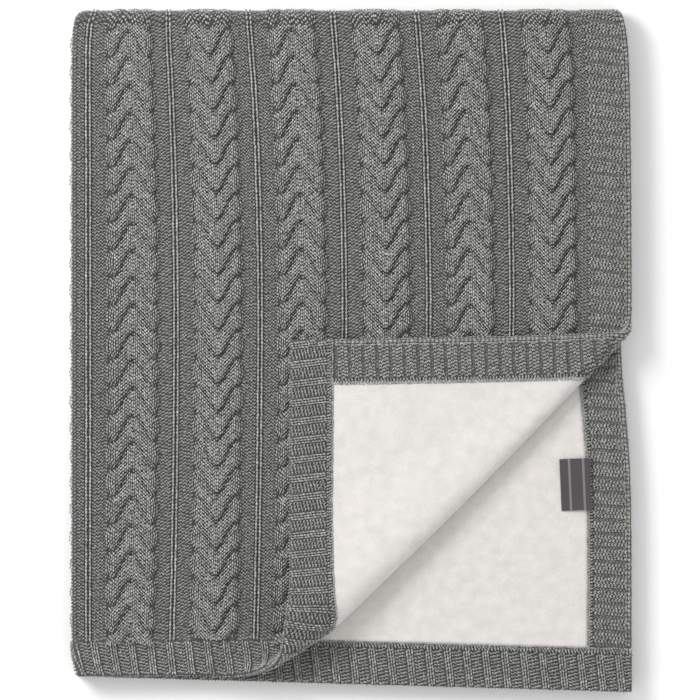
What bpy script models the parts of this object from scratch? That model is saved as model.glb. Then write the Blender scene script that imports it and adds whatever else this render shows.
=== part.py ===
"""Lined cable-knit blanket, folded in four and lying flat, with one corner of the top layer turned back.

Each piece is laid out flat first: u runs across the blanket, v along it and w through its thickness.
u = 0 is the fold at the left side and v = 0 the fold at the top. w is positive on the knitted side.
The layout is cut where the cloth bends, given its thickness, and then folded by folded().
"""
import math

import bmesh
import bpy
import numpy as np

# The blanket laid flat, in metres: half its width, half its length and the bands round it
HALF_WIDTH = 0.400
HALF_LENGTH = 0.475
BAND_WIDTH = 0.030
PIECE_GAP = 0.0005

# Thickness on each side of the seam plane at w = 0
KNIT_THICKNESS = 0.0020
LINING_THICKNESS = 0.0017
SKIN_GAP = 0.00025

# The two folds: the bend radius of the seam plane at the left side and of the pair of layers at the top
SIDE_FOLD_RADIUS = 0.0025
TOP_FOLD_RADIUS = 0.0060
SIDE_FOLD_X = -0.1971
TOP_FOLD_Y = 0.2321
SIDE_FOLD_TAKE_UP = 0.57 * SIDE_FOLD_RADIUS
CORE_HEIGHT = KNIT_THICKNESS + TOP_FOLD_RADIUS + SIDE_FOLD_RADIUS

# Pattern of the knitted face: a cable, a purl gutter, a thin ladder rib, a purl gutter
PATTERN_PITCH = 0.0602
FIRST_RIB_U = 0.0114
RIB_HALF_WIDTH = 0.0027
FIRST_CABLE_U = FIRST_RIB_U + PATTERN_PITCH / 2
CABLE_HALF_WIDTH = 0.0175
CABLE_CROSSING = 0.0196
CABLE_SLANT = 0.0150
CABLE_RELIEF = 0.0026
RIB_RELIEF = 0.0010
SLANT_RUN_IN = 0.0280

# Ribs of the bands
SIDE_RIB_PITCH = 0.0098
END_RIB_PITCH = 0.0136
BAND_RELIEF = 0.0010
SEAM_STRIP = 0.0046

# The turned-back corner: distance of the bend from the middle, towards the lower right corner. The bend
# is cut on lines along it, as shares of its arc, and in sections across it, which lie closer where it lifts
CORNER_BEND = 0.1335
CORNER_START = -0.137
CORNER_LENGTH = 0.330
CORNER_REST_HEIGHT = 0.0077
CORNER_AREA = 0.085
BEND_LINES = (0.0, 0.12, 0.24, 0.37, 0.5, 0.63, 0.76, 0.88, 1.0, 1.35, 1.9, 2.6, 3.6)
CORNER_SECTIONS = (-0.190, -0.040, 0.040, 0.085, 0.110, 0.130, 0.144, 0.158, 0.172, 0.190, 0.208, 0.240,
                   0.290)
TURNED_EDGE_X = -0.040
TURNED_EDGE_Y = 0.008

# Lines across the lower layers where their long edge is drawn in
DRAWN_IN_LINES = tuple(CABLE_CROSSING * (4 + 1.5 * step) for step in range(11))

# Woven label on the lining, beside the band
LABEL_SIZE = (0.0215, 0.0370, 0.0006)
LABEL_PLACE = (0.1612, -0.0961)
LABEL_TILT = math.radians(2.5)


def smooth(amount):
    """Eased step from 0 to 1."""
    held = np.clip(amount, 0.0, 1.0)
    return held * held * (3.0 - 2.0 * held)


def unevenness(x, y, v, lower):
    """How far the hand-folded cloth strays from straight, as a shift in x and y."""
    from_top = TOP_FOLD_Y + 0.012 - y
    from_bottom = y + 0.2335
    from_left = x - SIDE_FOLD_X
    # the columns bow out half-way down and draw together towards the top
    middle = smooth(from_left / 0.05) * (1 - smooth((from_left - 0.26) / 0.14))
    bow = 0.0029 * np.sin(math.pi * np.clip((from_top - 0.03) / 0.42, 0, 1)) * middle
    pinch = -0.0064 * np.exp(-np.maximum(from_top, 0) / 0.060)
    pinch = pinch * smooth(from_left / 0.12) * (1 - 0.4 * smooth((from_left - 0.28) / 0.10))
    # the corners of the folded blanket are rounded
    corner_left = 0.0060 * np.exp(-np.maximum(from_top, 0) / 0.009) * (1 - smooth(from_left / 0.10))
    corner_right = -0.0050 * np.exp(-np.maximum(from_top, 0) / 0.011) * smooth((from_left - 0.28) / 0.12)
    lower_left = 0.0040 * np.exp(-np.maximum(from_bottom, 0) / 0.010) * (1 - smooth(from_left / 0.06))
    # the lower layers' open edge is drawn in beside the turned-back corner, and their ends lie askew
    drawn_in = np.interp(v, DRAWN_IN_LINES, [-0.0078 * math.exp(-((line - 0.228) / 0.064) ** 2)
                                             for line in DRAWN_IN_LINES])
    drawn_in = drawn_in * smooth(from_left / 0.40) * lower
    # the upper layer's corner, as it is turned back, reaches a little further left and down
    upper = 1 - lower
    drawn_in = drawn_in - 0.0021 * smooth(from_left / 0.40) * smooth((from_top - 0.20) / 0.10) * upper
    skew = -0.0071 * np.clip(from_left / 0.40, 0, 1.1) * lower
    skew = skew - 0.0053 * smooth((from_left - 0.13) / 0.16) * upper
    skew = skew * np.clip(from_top / 0.46, 0, 1.1)
    return bow + pinch + corner_left + corner_right + lower_left + drawn_in, skew


def bend_shape(along):
    """Place, width, height and arc length of the corner's bend, which opens towards the lower left."""
    share = np.clip((along - CORNER_START) / CORNER_LENGTH, 0.0, 1.05)
    reach = 0.0050 + 0.0170 * share ** 2.2
    rise = 0.0043 + 0.0087 * share ** 2.2
    bow = 0.0021 * np.sin(math.pi * np.clip((along - CORNER_START) / 0.296, 0, 1))
    recede = 0.25 * 0.008 * np.log1p(np.exp((along - 0.154) / 0.008))
    start = CORNER_BEND + bow - recede - reach - 0.0029
    arc = math.pi * np.sqrt((reach ** 2 + rise ** 2) / 2)
    return start, reach, rise, arc


def folded(u, v, w):
    """Place of a point of the flat layout in the folded blanket."""
    half_turn = math.pi / 2
    # the fold at the left side, with the lining inside
    turn = np.clip(u / SIDE_FOLD_RADIUS, -half_turn, half_turn)
    past_fold = np.maximum(np.abs(u) - half_turn * SIDE_FOLD_RADIUS, 0.0)
    x = SIDE_FOLD_X + SIDE_FOLD_RADIUS - (SIDE_FOLD_RADIUS + w) * np.cos(turn) + past_fold
    layer = SIDE_FOLD_RADIUS * np.sin(turn)
    height = (SIDE_FOLD_RADIUS + w) * np.sin(turn)
    # the fold at the top, which takes both layers round together
    radius = TOP_FOLD_RADIUS + layer * np.clip(np.abs(u) / HALF_WIDTH, 0, 1)
    turn = np.clip(v / radius, -half_turn, half_turn)
    past_fold = np.maximum(np.abs(v) - half_turn * radius, 0.0)
    y = TOP_FOLD_Y + (TOP_FOLD_RADIUS + height) * np.cos(turn) - past_fold
    z = CORE_HEIGHT + (TOP_FOLD_RADIUS + height) * np.sin(turn)
    # unevenness, the same for every layer except below the top one
    top_layer = (u > 0) & (v > 0)
    shift_x, shift_y = unevenness(x, y, np.abs(v), np.where(top_layer, 0.0, 1.0))
    x = x + shift_x
    y = y + shift_y
    # the corner of the top layer turned up and over along a diagonal
    out = (x - y) / math.sqrt(2)
    along = -(x + y) / math.sqrt(2)
    start, reach, rise, arc = bend_shape(along)
    run = out - start
    turned = top_layer & (run > 0)
    angle = math.pi * np.clip(run / arc, 0, 1)
    past_bend = np.maximum(run - arc, 0.0)
    settle = smooth(past_bend / (0.020 + 5.0 * np.maximum(2 * rise - CORNER_REST_HEIGHT, 0)))
    length = np.hypot(rise * np.sin(angle), reach * np.cos(angle))
    normal_out = -rise * np.sin(angle) / length
    normal_up = reach * np.cos(angle) / length
    seam_height = CORE_HEIGHT + TOP_FOLD_RADIUS + SIDE_FOLD_RADIUS
    new_out = start + reach * np.sin(angle) - past_bend + w * normal_out
    new_z = seam_height + rise * (1 - np.cos(angle)) + w * normal_up
    new_z = new_z + (CORNER_REST_HEIGHT - 2 * rise) * settle
    out = np.where(turned, new_out, out)
    z = np.where(turned, new_z, z)
    x = (out - along) / math.sqrt(2)
    y = -(out + along) / math.sqrt(2)
    return x, y, z


def flat_place(u, v):
    """Distance towards the lower right corner and along the bend, before anything is turned back."""
    x = SIDE_FOLD_X + np.abs(u) - SIDE_FOLD_TAKE_UP
    y = TOP_FOLD_Y + math.pi * TOP_FOLD_RADIUS / 2 - np.abs(v)
    return x, y, (x - y) / math.sqrt(2), -(x + y) / math.sqrt(2)


def face_shows(u, v):
    """1 where the knitted side of the top layer can be seen, 0 where it is hidden."""
    x, y, out, along = flat_place(u, v)
    start = bend_shape(along)[0]
    under_corner = smooth((x - TURNED_EDGE_X - 0.006) / 0.012) * smooth((TURNED_EDGE_Y - 0.006 - y) / 0.012)
    shows = (1 - under_corner) * (1 - smooth((out - start + 0.012) / 0.010))
    shows = shows * smooth((u + 0.0075) / 0.0030)
    return shows * smooth((v + 0.0085) / 0.0075)


def back_shows(u, v):
    """1 where the reverse can be seen: the turned-back corner and the second layer beside it."""
    x, y, out, along = flat_place(u, v)
    start = bend_shape(along)[0]
    turned = smooth((out - start) / 0.006) * (u > 0)
    beside = smooth((out - start + 0.030) / 0.010) * smooth((x + 0.088) / 0.010) * (u < 0)
    return (turned + beside) * (v > 0)


def cable_row_shift(u, v):
    """Slant of the cable rows: they rise to the middle of one cable and fall to the middle of the next."""
    number = np.round((u - FIRST_CABLE_U) / PATTERN_PITCH)
    side = np.abs(u - FIRST_CABLE_U - number * PATTERN_PITCH) / CABLE_HALF_WIDTH
    upwards = np.where(number % 2 == 0, -1.0, 1.0)
    run_in = np.clip((v - 0.016) / SLANT_RUN_IN, 0, 1)
    run_out = np.clip((HALF_LENGTH - BAND_WIDTH - 0.002 - v) / SLANT_RUN_IN, 0, 1)
    return CABLE_SLANT * upwards * np.clip(1 - side, 0, 1) * run_in * run_out * (u > 0)


def face_relief(u, v):
    """Height of the cables and ladder ribs over the purl ground."""
    row = v
    for _ in range(12):
        row = v - cable_row_shift(u, row)
    number = np.round((u - FIRST_CABLE_U) / PATTERN_PITCH)
    side = np.abs(u - FIRST_CABLE_U - number * PATTERN_PITCH) / CABLE_HALF_WIDTH
    across = np.interp(side, (0.0, 0.6, 1.0), (0.25, 1.0, 0.0))
    part = np.abs(2 * np.mod(row / CABLE_CROSSING, 1.0) - 1)
    cable = CABLE_RELIEF * across * (1 - 0.80 * part ** 4)
    rib_side = np.abs(np.mod(u - FIRST_RIB_U + PATTERN_PITCH / 2, PATTERN_PITCH) - PATTERN_PITCH / 2)
    rib = RIB_RELIEF * np.clip(1 - rib_side / RIB_HALF_WIDTH, 0, 1)
    return np.maximum(cable, rib)


def side_rib(u, v):
    """Broad rounded ribs across the side bands."""
    part = np.abs(2 * np.mod(v / SIDE_RIB_PITCH, 1.0) - 1)
    return BAND_RELIEF * (1 - part ** 4)


def end_rib(u, v):
    """Raised groups of knit stitches across the end bands."""
    part = np.mod(u / END_RIB_PITCH, 1.0)
    return BAND_RELIEF * np.interp(part, (0.0, 0.10, 0.38, 0.48), (0.0, 1.0, 1.0, 0.0))


def even_lines(first, last, step):
    """Lines at an even distance from first to last."""
    return list(np.linspace(first, last, max(2, round((last - first) / step) + 1)))


def joined_lines(first, last, closest, *groups):
    """Sorted lines between two ends; a line nearer than closest to one of an earlier group is left out."""
    lines = [first, last]
    for group in groups:
        for line in group:
            if first < line < last and min(abs(line - other) for other in lines) > closest:
                lines.append(float(line))
    return sorted(lines)


SIDE_FOLD_LINES = [SIDE_FOLD_RADIUS * math.radians(angle) for angle in range(-90, 91, 45)]
TOP_FOLD_LINES = [side * line for line in (0.0, 0.0020, 0.0038, 0.0055, 0.0092, 0.0134) for side in (-1, 1)]
NEAR_TOP_LINES = [side * line for line in (0.020, 0.028, 0.040, 0.060) for side in (-1, 1)]


def flat_grid(u_lines, v_lines):
    """Flat grid whose columns and rows lie on the listed lines."""
    grid = bmesh.new()
    columns = len(u_lines) - 1
    rows = len(v_lines) - 1
    bmesh.ops.create_grid(grid, x_segments=columns, y_segments=rows, size=1.0)
    for vertex in grid.verts:
        column = round((vertex.co.x + 1) / 2 * columns)
        row = round((vertex.co.y + 1) / 2 * rows)
        vertex.co = (u_lines[column], v_lines[row], 0.0)
    return grid


def faces_where(grid, test):
    """Faces whose middle passes the test."""
    return [face for face in grid.faces if test(*face.calc_center_median().xy)]


def cut(grid, faces, first, second):
    """Cut faces along the straight line through two points of the layout."""
    if not faces:
        return
    edges = {edge for face in faces for edge in face.edges}
    verts = {vertex for face in faces for vertex in face.verts}
    across = (second[1] - first[1], first[0] - second[0], 0.0)
    length = math.hypot(across[0], across[1])
    bmesh.ops.bisect_plane(grid, geom=list(faces) + list(edges) + list(verts), dist=1e-6,
                           plane_co=(first[0], first[1], 0.0),
                           plane_no=(across[0] / length, across[1] / length, 0.0))


def layout_point(along, out):
    """Point of the layout that lies at a place along and out from the corner's bend."""
    x = (out - along) / math.sqrt(2)
    y = -(out + along) / math.sqrt(2)
    u = x - SIDE_FOLD_X + SIDE_FOLD_TAKE_UP
    v = TOP_FOLD_Y + math.pi * TOP_FOLD_RADIUS / 2 - y
    return u, v


def cut_corner(grid):
    """Cut the top layer along the bend, section by section, so that it can roll over."""
    plain = faces_where(grid, lambda u, v: u > 0.01 and v > 0.02)
    plain = [face for face in plain if face.calc_area() > 0.001]
    cut(grid, plain, layout_point(0.0, CORNER_AREA), layout_point(0.1, CORNER_AREA))

    def in_corner(u, v, first, second):
        out, along = flat_place(u, v)[2:]
        return u > 0.01 and v > 0.02 and out > CORNER_AREA and first < along < second

    for place in CORNER_SECTIONS:
        strip = faces_where(grid, lambda u, v: in_corner(u, v, -1.0, 1.0))
        cut(grid, strip, layout_point(place, 0.0), layout_point(place, 0.2))
    for first, second in zip(CORNER_SECTIONS[:-1], CORNER_SECTIONS[1:]):
        ends = [bend_shape(place) for place in (first, second)]
        for share in BEND_LINES:
            section = faces_where(grid, lambda u, v: in_corner(u, v, first, second))
            cut(grid, section, layout_point(first, ends[0][0] + ends[0][3] * share),
                layout_point(second, ends[1][0] + ends[1][3] * share))


def finish_piece(name, grid, front, back, material):
    """Give the flat layout its two faces, fold it and make the object."""
    bmesh.ops.triangulate(grid, faces=[face for face in grid.faces if len(face.verts) > 3])
    extruded = bmesh.ops.extrude_face_region(grid, geom=grid.faces[:], use_keep_orig=True)
    raised = {item for item in extruded["geom"] if isinstance(item, bmesh.types.BMVert)}
    grid.verts.index_update()
    flat = np.array([vertex.co for vertex in grid.verts])
    is_front = np.array([vertex in raised for vertex in grid.verts])
    u = flat[:, 0]
    v = flat[:, 1]
    w = np.where(is_front, front(u, v), back(u, v))
    places = np.stack(folded(u, v, w), axis=1)
    for vertex, place in zip(grid.verts, places):
        vertex.co = place
    bmesh.ops.recalc_face_normals(grid, faces=grid.faces[:])
    if grid.calc_volume(signed=True) < 0:
        bmesh.ops.reverse_faces(grid, faces=grid.faces[:])
    mesh = bpy.data.meshes.new(name)
    grid.to_mesh(mesh)
    grid.free()
    mesh.materials.append(material)
    piece = bpy.data.objects.new(name, mesh)
    bpy.context.scene.collection.objects.link(piece)
    return piece


def cloth_material(name, color, roughness):
    """Plain cloth material."""
    material = bpy.data.materials.new(name)
    material.use_nodes = True
    shader = material.node_tree.nodes["Principled BSDF"]
    shader.inputs["Base Color"].default_value = color
    shader.inputs["Roughness"].default_value = roughness
    return material


def knit_panel(material):
    """Knitted face: cables and ladder ribs stand up where the face shows, and it is plain elsewhere."""
    half_u = HALF_WIDTH - BAND_WIDTH - PIECE_GAP / 2
    half_v = HALF_LENGTH - BAND_WIDTH - PIECE_GAP / 2
    cable_columns = []
    for number in range(0, 6):
        centre = FIRST_CABLE_U + number * PATTERN_PITCH
        cable_columns += [centre + side * CABLE_HALF_WIDTH for side in (-1, -0.6, 0, 0.6, 1)]
        centre = FIRST_RIB_U + number * PATTERN_PITCH
        cable_columns += [centre + side * RIB_HALF_WIDTH for side in (-1, 0, 1)]
    cable_rows = []
    for number in range(1, 23):
        cable_rows += [CABLE_CROSSING * (number + part) for part in (0.0, 0.5)]
    u_lines = joined_lines(-half_u, half_u, 0.0008, SIDE_FOLD_LINES, (-0.0075,), cable_columns,
                           even_lines(-half_u, -0.02, 0.060))
    v_lines = joined_lines(-half_v, half_v, 0.0011, TOP_FOLD_LINES, (-0.016, 0.0165, 0.0200), cable_rows,
                           DRAWN_IN_LINES,
                           [-line for line in (0.028, 0.040, 0.060, 0.430, 0.437) + DRAWN_IN_LINES],
                           (0.430, 0.437))
    grid = flat_grid(u_lines, v_lines)
    for vertex in grid.verts:
        vertex.co.y += float(cable_row_shift(vertex.co.x, vertex.co.y))
    hidden = faces_where(grid, lambda u, v: u > 0.01 and v > 0.03 and face_shows(u, v) < 0.01
                         and face_shows(u - 0.008, v) < 0.01 and face_shows(u, v - 0.012) < 0.01)
    bmesh.ops.dissolve_faces(grid, faces=hidden, use_verts=False)
    cut_corner(grid)

    def front(u, v):
        return KNIT_THICKNESS + face_relief(u, v) * face_shows(u, v)

    def back(u, v):
        return np.full_like(u, SKIN_GAP)

    return finish_piece("knit_panel", grid, front, back, material)


def lining(material):
    """Plush lining, cut to the same size as the knitted face."""
    half_u = HALF_WIDTH - BAND_WIDTH - PIECE_GAP / 2
    half_v = HALF_LENGTH - BAND_WIDTH - PIECE_GAP / 2
    u_lines = joined_lines(-half_u, half_u, 0.0008, SIDE_FOLD_LINES, (-0.0075,),
                           even_lines(-half_u, -0.02, 0.060), even_lines(0.03, half_u, 0.060))
    v_lines = joined_lines(-half_v, half_v, 0.0011, TOP_FOLD_LINES, NEAR_TOP_LINES,
                           (-0.430, -0.437, 0.430, 0.437), DRAWN_IN_LINES, [-line for line in DRAWN_IN_LINES])
    grid = flat_grid(u_lines, v_lines)
    top_layer = faces_where(grid, lambda u, v: u > 0.03 and v > 0.06)
    bmesh.ops.dissolve_faces(grid, faces=top_layer, use_verts=False)
    cut_corner(grid)

    def front(u, v):
        return np.full_like(u, -SKIN_GAP)

    def back(u, v):
        return np.full_like(u, -LINING_THICKNESS)

    return finish_piece("lining", grid, front, back, material)


def side_band(name, side, material):
    """Band along one long side, ribbed across; side is 1 for the outer layers and -1 for the inner ones."""
    half_v = HALF_LENGTH - BAND_WIDTH - PIECE_GAP / 2
    near = HALF_WIDTH - BAND_WIDTH + PIECE_GAP / 2
    strip_lines = (near + 0.8 * SEAM_STRIP,) if side > 0 else (near + SEAM_STRIP, near + SEAM_STRIP + 0.001)
    u_lines = sorted(side * line for line in (near, HALF_WIDTH) + strip_lines)
    first_rib = 0 if side > 0 else 20
    ribs = [SIDE_RIB_PITCH * (number + part) for number in range(first_rib, 46) for part in (0.0, 0.22, 0.78)]
    v_lines = joined_lines(-half_v, half_v, 0.0011, TOP_FOLD_LINES, (-0.016,), DRAWN_IN_LINES,
                           [-line for line in DRAWN_IN_LINES], ribs, NEAR_TOP_LINES)
    grid = flat_grid(u_lines, v_lines)
    if side > 0:
        cut_corner(grid)

    strip_span = (0.0, 0.8 * SEAM_STRIP) if side > 0 else (SEAM_STRIP, SEAM_STRIP + 0.001)

    def front(u, v):
        return KNIT_THICKNESS + side_rib(u, v) * face_shows(u, v)

    def back(u, v):
        past_strip = np.interp(np.abs(u) - near, strip_span, (0, 1))
        return -LINING_THICKNESS - side_rib(u, v) * back_shows(u, v) * past_strip

    return finish_piece(name, grid, front, back, material)


def end_band(name, side, material):
    """Band along one end, ribbed across; side is 1 for the upper layers and -1 for the lower ones."""
    near = HALF_LENGTH - BAND_WIDTH + PIECE_GAP / 2
    v_lines = sorted(side * line for line in (near, near + 0.8 * SEAM_STRIP, HALF_LENGTH))
    parts = (0.0, 0.10, 0.38, 0.48)
    shown = list(range(-29, -8)) + list(range(-1, 29))
    ribs = [END_RIB_PITCH * (number + part) for number in shown for part in parts]
    spans = even_lines(-HALF_WIDTH, HALF_WIDTH, 0.060)
    u_lines = joined_lines(-HALF_WIDTH, HALF_WIDTH, 0.0006, SIDE_FOLD_LINES, (-0.0075,),
                           ribs if side > 0 else spans, spans)
    grid = flat_grid(u_lines, v_lines)
    if side > 0:
        cut_corner(grid)

    def front(u, v):
        return KNIT_THICKNESS + end_rib(u, v) * face_shows(u, v)

    def back(u, v):
        past_strip = np.clip((np.abs(v) - near) / (0.8 * SEAM_STRIP), 0, 1)
        return -LINING_THICKNESS - end_rib(u, v) * back_shows(u, v) * past_strip

    return finish_piece(name, grid, front, back, material)


def label(material):
    """Small woven label lying on the lining of the second layer, at the edge of the band."""
    top = CORE_HEIGHT + TOP_FOLD_RADIUS - SIDE_FOLD_RADIUS + LINING_THICKNESS
    bpy.ops.mesh.primitive_cube_add(size=1.0, location=(0.0, 0.0, 0.0))
    piece = bpy.context.active_object
    piece.name = "label"
    piece.data.name = "label"
    turned = np.array([vertex.co for vertex in piece.data.vertices]) * np.array(LABEL_SIZE)
    cosine = math.cos(LABEL_TILT)
    sine = math.sin(LABEL_TILT)
    for vertex, (x, y, z) in zip(piece.data.vertices, turned):
        vertex.co = (LABEL_PLACE[0] + x * cosine - y * sine, LABEL_PLACE[1] + x * sine + y * cosine,
                     top + PIECE_GAP + LABEL_SIZE[2] / 2 + z)
    piece.data.materials.append(material)
    return piece


def centre_on_floor(pieces):
    """Move everything so that the origin is the middle of the bounding box's underside."""
    corners = np.array([vertex.co for piece in pieces for vertex in piece.data.vertices])
    low = corners.min(axis=0)
    high = corners.max(axis=0)
    shift = np.array([-(low[0] + high[0]) / 2, -(low[1] + high[1]) / 2, -low[2]])
    print("shift to the middle of the underside:", shift.round(7))
    print("size:", (high - low).round(5))
    for piece in pieces:
        for vertex in piece.data.vertices:
            vertex.co = np.array(vertex.co) + shift


for leftover in list(bpy.data.objects):
    bpy.data.objects.remove(leftover, do_unlink=True)

CABLE_KNIT = cloth_material("cable_knit", (0.216, 0.221, 0.211, 1.0), 0.95)
RIBBED_KNIT = cloth_material("ribbed_knit", (0.216, 0.221, 0.211, 1.0), 0.95)
PLUSH = cloth_material("plush_lining", (0.80, 0.77, 0.75, 1.0), 1.0)
WOVEN = cloth_material("woven_label", (0.07, 0.066, 0.069, 1.0), 0.8)

centre_on_floor([
    knit_panel(CABLE_KNIT),
    lining(PLUSH),
    side_band("side_band_outer", 1, RIBBED_KNIT),
    side_band("side_band_inner", -1, RIBBED_KNIT),
    end_band("end_band_upper", 1, RIBBED_KNIT),
    end_band("end_band_lower", -1, RIBBED_KNIT),
    label(WOVEN),
])
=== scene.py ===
"""Lined cable-knit blanket, folded in four, with the corner of its top layer turned back."""
import math

import bpy
import numpy as np
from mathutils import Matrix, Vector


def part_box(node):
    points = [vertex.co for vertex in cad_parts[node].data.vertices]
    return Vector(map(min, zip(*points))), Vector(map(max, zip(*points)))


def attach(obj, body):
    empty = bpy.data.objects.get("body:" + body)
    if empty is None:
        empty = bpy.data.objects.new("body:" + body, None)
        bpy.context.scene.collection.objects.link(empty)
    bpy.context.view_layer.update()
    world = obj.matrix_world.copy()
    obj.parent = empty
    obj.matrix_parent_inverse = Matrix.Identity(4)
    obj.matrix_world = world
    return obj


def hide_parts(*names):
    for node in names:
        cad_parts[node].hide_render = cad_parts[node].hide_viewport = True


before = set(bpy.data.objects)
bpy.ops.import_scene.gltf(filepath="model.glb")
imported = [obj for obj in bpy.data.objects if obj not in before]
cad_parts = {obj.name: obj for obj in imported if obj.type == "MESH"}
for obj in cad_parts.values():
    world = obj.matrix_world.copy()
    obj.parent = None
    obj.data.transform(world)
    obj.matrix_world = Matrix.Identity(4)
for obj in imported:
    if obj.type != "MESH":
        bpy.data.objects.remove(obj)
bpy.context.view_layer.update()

# Knitted face: the cloth under its stitches
# Cotton yarn knitted to a panel 74 by 89 cm, folded side to side and then end to end with the lining
# inside. It is laid out flat, u across, v along and w through it, and folded() takes it to its place.
HALF_WIDTH = 0.400
HALF_LENGTH = 0.475
BAND_WIDTH = 0.030
PIECE_GAP = 0.0005
KNIT_THICKNESS = 0.0020
LINING_THICKNESS = 0.0017
SKIN_GAP = 0.00025
SIDE_FOLD_RADIUS = 0.0025
TOP_FOLD_RADIUS = 0.0060
SIDE_FOLD_X = -0.1971
TOP_FOLD_Y = 0.2321
CORE_HEIGHT = KNIT_THICKNESS + TOP_FOLD_RADIUS + SIDE_FOLD_RADIUS
ROW_HEIGHT = 0.00245
CABLE_CROSSING = 8 * ROW_HEIGHT
CORNER_BEND = 0.1335
CORNER_START = -0.137
CORNER_LENGTH = 0.330
CORNER_REST_HEIGHT = 0.0077
# the right edge of the lower layers is drawn in by straight steps between these lines of the layout
DRAWN_IN_LINES = [CABLE_CROSSING * (4 + 1.5 * step) for step in range(11)]
TO_ORIGIN = (-0.00145, 0.00040)
# how much painted shade darkens the cloth between its stitches
SHADE_BETWEEN = 0.86


def smooth(amount):
    """Eased step from 0 to 1."""
    held = np.clip(amount, 0.0, 1.0)
    return held * held * (3.0 - 2.0 * held)


def unevenness(x, y, v, lower):
    """How far the hand-folded cloth strays from straight, as a shift in x and y."""
    from_top = TOP_FOLD_Y + 0.012 - y
    from_bottom = y + 0.2335
    from_left = x - SIDE_FOLD_X
    # the cables bow to the right halfway down, and are drawn to the left near the top
    middle = smooth(from_left / 0.05) * (1 - smooth((from_left - 0.26) / 0.14))
    bow = 0.0029 * np.sin(math.pi * np.clip((from_top - 0.03) / 0.42, 0, 1)) * middle
    pinch = -0.0064 * np.exp(-np.maximum(from_top, 0) / 0.060)
    pinch = pinch * smooth(from_left / 0.12) * (1 - 0.4 * smooth((from_left - 0.28) / 0.10))
    # three rounded corners
    corner_left = 0.0060 * np.exp(-np.maximum(from_top, 0) / 0.009) * (1 - smooth(from_left / 0.10))
    corner_right = -0.0050 * np.exp(-np.maximum(from_top, 0) / 0.011) * smooth((from_left - 0.28) / 0.12)
    lower_left = 0.0040 * np.exp(-np.maximum(from_bottom, 0) / 0.010) * (1 - smooth(from_left / 0.06))
    # the right edge: the lower layers are drawn in at mid height, the top one near its turned-back corner
    drawn_in = np.interp(v, DRAWN_IN_LINES, [-0.0078 * math.exp(-((line - 0.228) / 0.064) ** 2)
                                             for line in DRAWN_IN_LINES])
    drawn_in = drawn_in * smooth(from_left / 0.40) * lower
    upper = 1 - lower
    drawn_in = drawn_in - 0.0021 * smooth(from_left / 0.40) * smooth((from_top - 0.20) / 0.10) * upper
    # the lower edge runs down to the right, less in the top layer
    skew = -0.0071 * np.clip(from_left / 0.40, 0, 1.1) * lower
    skew = skew - 0.0053 * smooth((from_left - 0.13) / 0.16) * upper
    skew = skew * np.clip(from_top / 0.46, 0, 1.1)
    return bow + pinch + corner_left + corner_right + lower_left + drawn_in, skew


def bend_shape(along):
    """Place, width, height and arc length of the corner's bend, which opens towards the lower left."""
    share = np.clip((along - CORNER_START) / CORNER_LENGTH, 0.0, 1.05)
    reach = 0.0050 + 0.0170 * share ** 2.2
    rise = 0.0043 + 0.0087 * share ** 2.2
    bow = 0.0021 * np.sin(math.pi * np.clip((along - CORNER_START) / 0.296, 0, 1))
    recede = 0.25 * 0.008 * np.log1p(np.exp((along - 0.154) / 0.008))
    start = CORNER_BEND + bow - recede - reach - 0.0029
    arc = math.pi * np.sqrt((reach ** 2 + rise ** 2) / 2)
    return start, reach, rise, arc


def folded(u, v, w):
    """Place of a point of the flat layout in the folded blanket, as an array of rows x, y, z."""
    half_turn = math.pi / 2
    # the fold at the left side, with the lining inside
    turn = np.clip(u / SIDE_FOLD_RADIUS, -half_turn, half_turn)
    past_fold = np.maximum(np.abs(u) - half_turn * SIDE_FOLD_RADIUS, 0.0)
    x = SIDE_FOLD_X + SIDE_FOLD_RADIUS - (SIDE_FOLD_RADIUS + w) * np.cos(turn) + past_fold
    layer = SIDE_FOLD_RADIUS * np.sin(turn)
    height = (SIDE_FOLD_RADIUS + w) * np.sin(turn)
    # the fold at the top, which takes both layers round together
    radius = TOP_FOLD_RADIUS + layer * np.clip(np.abs(u) / HALF_WIDTH, 0, 1)
    turn = np.clip(v / radius, -half_turn, half_turn)
    past_fold = np.maximum(np.abs(v) - half_turn * radius, 0.0)
    y = TOP_FOLD_Y + (TOP_FOLD_RADIUS + height) * np.cos(turn) - past_fold
    z = CORE_HEIGHT + (TOP_FOLD_RADIUS + height) * np.sin(turn)
    # unevenness, the same for every layer except below the top one
    top_layer = (u > 0) & (v > 0)
    shift_x, shift_y = unevenness(x, y, np.abs(v), np.where(top_layer, 0.0, 1.0))
    x = x + shift_x
    y = y + shift_y
    # the corner of the top layer turned up and over along a diagonal
    out = (x - y) / math.sqrt(2)
    along = -(x + y) / math.sqrt(2)
    start, reach, rise, arc = bend_shape(along)
    run = out - start
    turned = top_layer & (run > 0)
    angle = math.pi * np.clip(run / arc, 0, 1)
    past_bend = np.maximum(run - arc, 0.0)
    settle = smooth(past_bend / (0.020 + 5.0 * np.maximum(2 * rise - CORNER_REST_HEIGHT, 0)))
    length = np.hypot(rise * np.sin(angle), reach * np.cos(angle))
    normal_out = -rise * np.sin(angle) / length
    normal_up = reach * np.cos(angle) / length
    seam_height = CORE_HEIGHT + TOP_FOLD_RADIUS + SIDE_FOLD_RADIUS
    new_out = start + reach * np.sin(angle) - past_bend + w * normal_out
    new_z = seam_height + rise * (1 - np.cos(angle)) + w * normal_up
    new_z = new_z + (CORNER_REST_HEIGHT - 2 * rise) * settle
    out = np.where(turned, new_out, out)
    z = np.where(turned, new_z, z)
    x = (out - along) / math.sqrt(2) + TO_ORIGIN[0]
    y = -(out + along) / math.sqrt(2) + TO_ORIGIN[1]
    return np.stack((x, y, z), axis=-1)


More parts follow.
